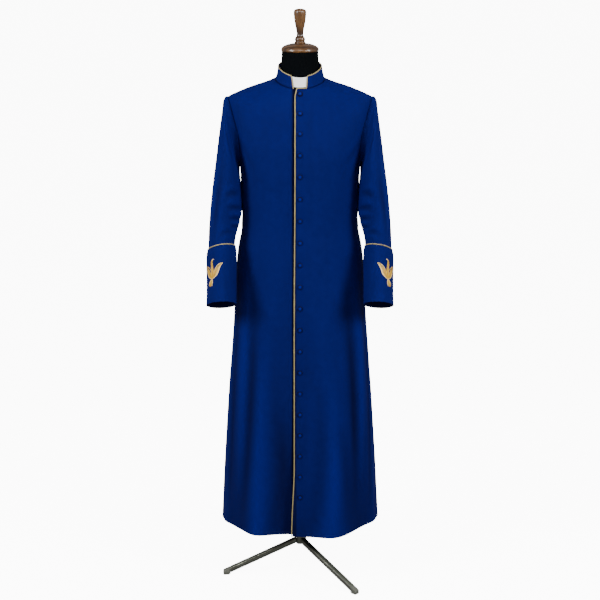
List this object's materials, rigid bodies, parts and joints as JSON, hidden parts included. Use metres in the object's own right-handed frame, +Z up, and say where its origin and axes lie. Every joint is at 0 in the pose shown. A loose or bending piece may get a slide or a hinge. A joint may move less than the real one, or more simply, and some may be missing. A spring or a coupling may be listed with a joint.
{
  "type": "clergy cassock on a dress form with stand",
  "caption": "Full-length cassock with a buttoned front, standing collar band, piped edges and turned-back cuffs, worn by a limbless dress form on a tripod stand",
  "frame": {"origin": "On the floor, in the middle of the part's box seen from above; the pole stands 28.5 mm in front of it.", "axes": "+Z is up. The front of the cassock faces -Y, and the wearer's left is +X."},
  "size_m": [0.5886, 0.4654, 1.8638],
  "materials": {
    "cassock_cloth": "matte",
    "button_cloth": "matte",
    "piping_cord": "satin",
    "collar_tab": "matte",
    "form_cover": "matte",
    "turned_wood": "satin",
    "base_wood": "matte",
    "stand_steel": "satin",
    "foot_cap": "satin"
  },
  "bodies": {
    "root": {"front_left": "cassock_cloth", "front_right": "cassock_cloth", "back": "cassock_cloth", "sleeve_left": "cassock_cloth", "sleeve_right": "cassock_cloth", "cuff_left": "cassock_cloth", "cuff_right": "cassock_cloth", "collar": "cassock_cloth", "button_01": "button_cloth", "button_02": "button_cloth", "button_03": "button_cloth", "button_04": "button_cloth", "button_05": "button_cloth", "button_06": "button_cloth", "button_07": "button_cloth", "button_08": "button_cloth", "button_09": "button_cloth", "button_10": "button_cloth", "button_11": "button_cloth", "button_12": "button_cloth", "button_13": "button_cloth", "button_14": "button_cloth", "button_15": "button_cloth", "button_16": "button_cloth", "button_17": "button_cloth", "button_18": "button_cloth", "button_19": "button_cloth", "button_20": "button_cloth", "piping_front": "piping_cord", "piping_cuff_left": "piping_cord", "piping_cuff_right": "piping_cord", "collar_tab": "collar_tab", "form_body": "form_cover", "neck_cap": "turned_wood", "finial": "turned_wood", "base_plate": "base_wood", "pole": "stand_steel", "hub": "stand_steel", "leg_left": "stand_steel", "leg_right": "stand_steel", "leg_back": "stand_steel", "foot_left": "foot_cap", "foot_right": "foot_cap", "foot_back": "foot_cap"}
  },
  "joints": []
}
